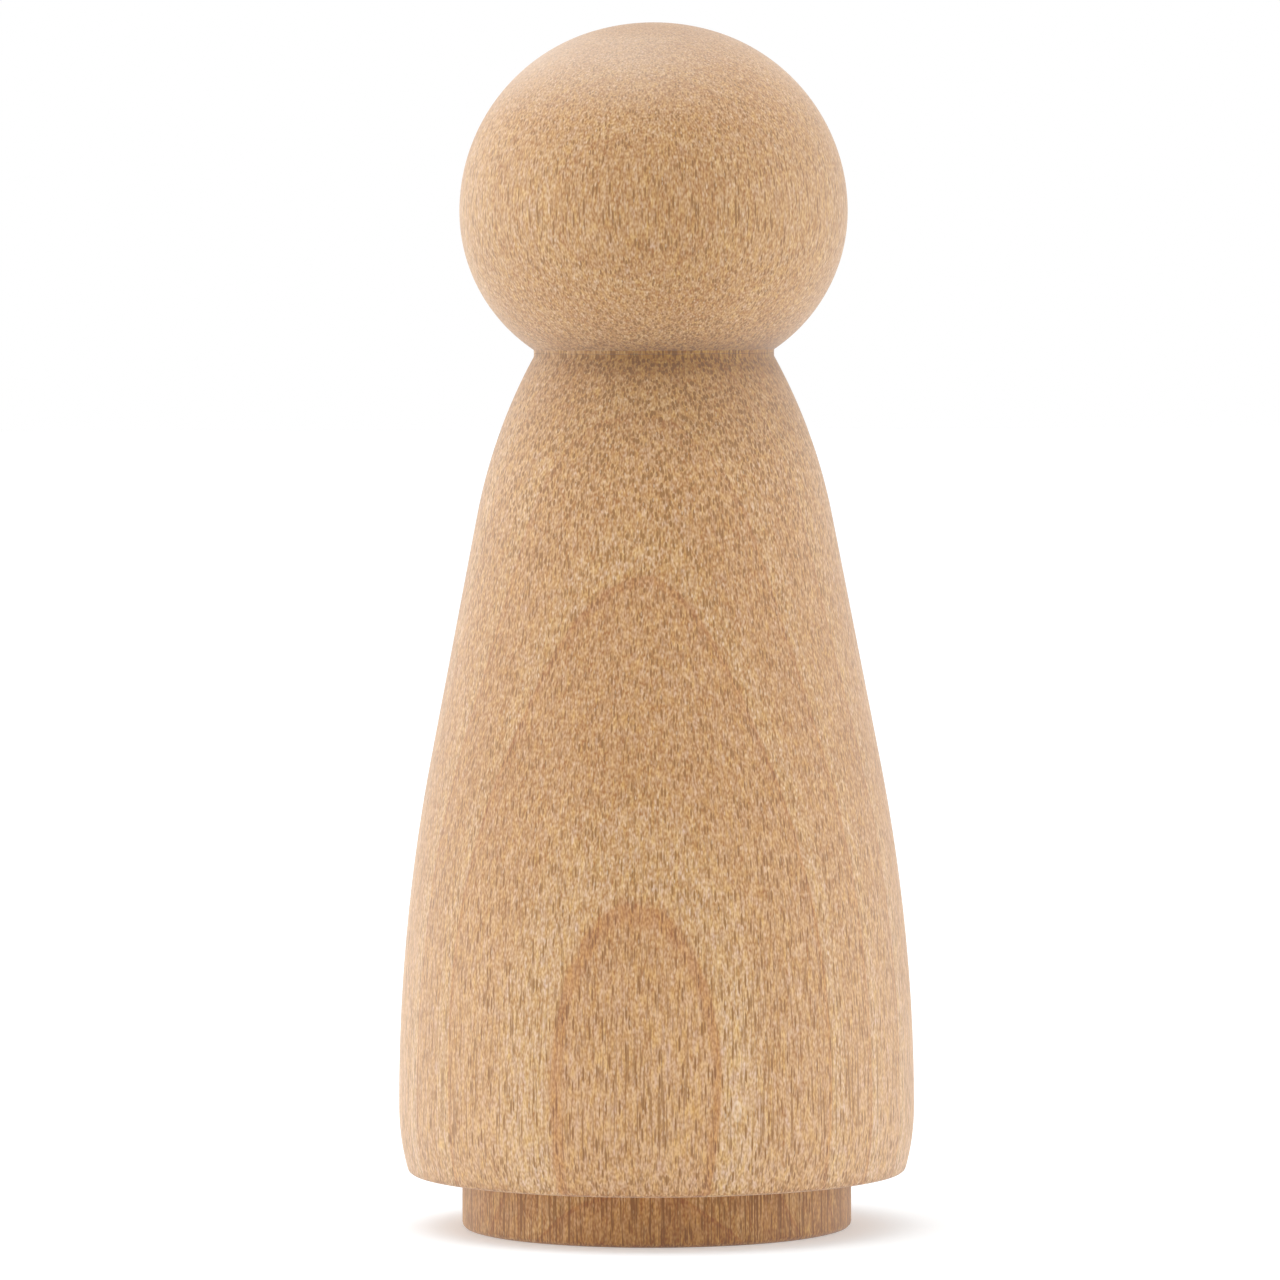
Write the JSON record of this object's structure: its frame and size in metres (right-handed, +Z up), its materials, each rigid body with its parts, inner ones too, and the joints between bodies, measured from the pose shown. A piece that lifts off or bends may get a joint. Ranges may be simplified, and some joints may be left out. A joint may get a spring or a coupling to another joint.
{
  "type": "wooden peg figure",
  "caption": "Turned wooden game figure with a ball head, a bell-shaped body and a smaller round foot disc.",
  "frame": {"origin": "centre of the foot's underside, on the surface that the figure stands on", "axes": "+Z up along the turning axis, -Y towards the side shown as the front, +X to the right of that side"},
  "size_m": [0.0382, 0.0382, 0.0889],
  "materials": {
    "turned_wood": "matte",
    "dowel_wood": "matte"
  },
  "bodies": {
    "root": {"head": "turned_wood", "neck_dowel": "dowel_wood", "body": "turned_wood", "foot": "turned_wood"}
  },
  "joints": []
}
